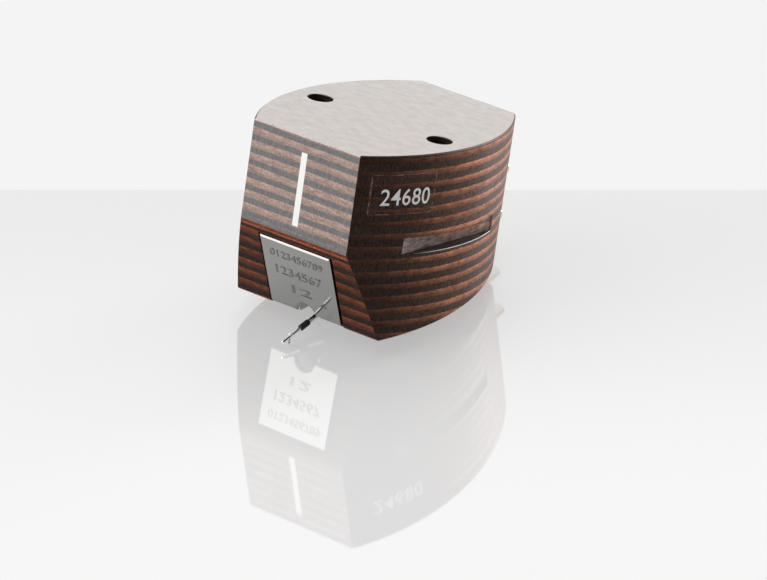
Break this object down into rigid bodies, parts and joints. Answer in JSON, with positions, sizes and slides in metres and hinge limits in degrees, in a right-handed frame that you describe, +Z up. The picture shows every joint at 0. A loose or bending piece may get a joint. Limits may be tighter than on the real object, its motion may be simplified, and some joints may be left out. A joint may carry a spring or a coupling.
{
  "type": "turntable stylus cartridge",
  "caption": "Phono cartridge: bow-sided block of laminated wood with a slanted metal front plate, sprung stylus arm, finger grooves and rear terminal pins.",
  "frame": {"origin": "midway between the two mounting holes, on the flat top face", "axes": "+X to the right seen from the stylus end, +Y from the stylus end to the terminal pins, +Z up out of the top face"},
  "size_m": [0.018, 0.0268, 0.0186],
  "materials": {
    "laminated_wood": "satin, dark and red-brown plies pressed together",
    "white_inlay": "matt white",
    "satin_plate": "fine satin",
    "housing_plastic": "black, fine moulded texture",
    "core_alloy": "bare stamped alloy",
    "bobbin_plastic": "natural moulded plastic",
    "coil_copper": "enamelled copper winding",
    "holder_plastic": "black, satin",
    "anchor_brass": "turned",
    "spring_wire": "drawn",
    "damper_rubber": "soft black rubber",
    "arm_aluminium": "drawn tube",
    "arm_boron": "bright dark grey rod",
    "black_sleeve": "glossy black",
    "diamond": "clear, polished",
    "carrier_plastic": "dark grey moulded plastic",
    "magnet_nickel": "nickel plated",
    "block_plastic": "black, satin",
    "pin_gold": "gold plated"
  },
  "bodies": {
    "body": {"wood_body": "laminated_wood", "sight_line": "white_inlay", "front_plate": "satin_plate", "generator_housing": "housing_plastic", "left_pole_core": "core_alloy", "right_pole_core": "core_alloy", "left_front_bobbin": "bobbin_plastic", "left_rear_bobbin": "bobbin_plastic", "right_front_bobbin": "bobbin_plastic", "right_rear_bobbin": "bobbin_plastic", "left_front_coil": "coil_copper", "left_rear_coil": "coil_copper", "right_front_coil": "coil_copper", "right_rear_coil": "coil_copper", "stylus_holder": "holder_plastic", "wire_anchor": "anchor_brass", "suspension_wire": "spring_wire", "terminal_block": "block_plastic", "left_signal_pin": "pin_gold", "left_ground_pin": "pin_gold", "right_signal_pin": "pin_gold", "right_ground_pin": "pin_gold"},
    "damper": {"damper_ring": "damper_rubber"},
    "arm": {"arm_tube": "arm_aluminium", "arm_rod": "arm_boron", "arm_sleeve": "black_sleeve", "stylus_tip": "diamond", "magnet_carrier": "carrier_plastic", "left_magnet": "magnet_nickel", "right_magnet": "magnet_nickel"}
  },
  "joints": [
    {"name": "arm_lateral", "type": "hinge", "parent": "body", "child": "damper", "pos_m": [0, -0.00235, -0.01563], "axis": [0, -0.3469, 0.9379], "range_deg": [-3, 3], "stiffness_Nm_per_rad": 0.0025},
    {"name": "arm_vertical", "type": "hinge", "parent": "damper", "child": "arm", "pos_m": [0, -0.00235, -0.01563], "axis": [-1, 0, 0], "range_deg": [-2, 4], "stiffness_Nm_per_rad": 0.0025}
  ]
}
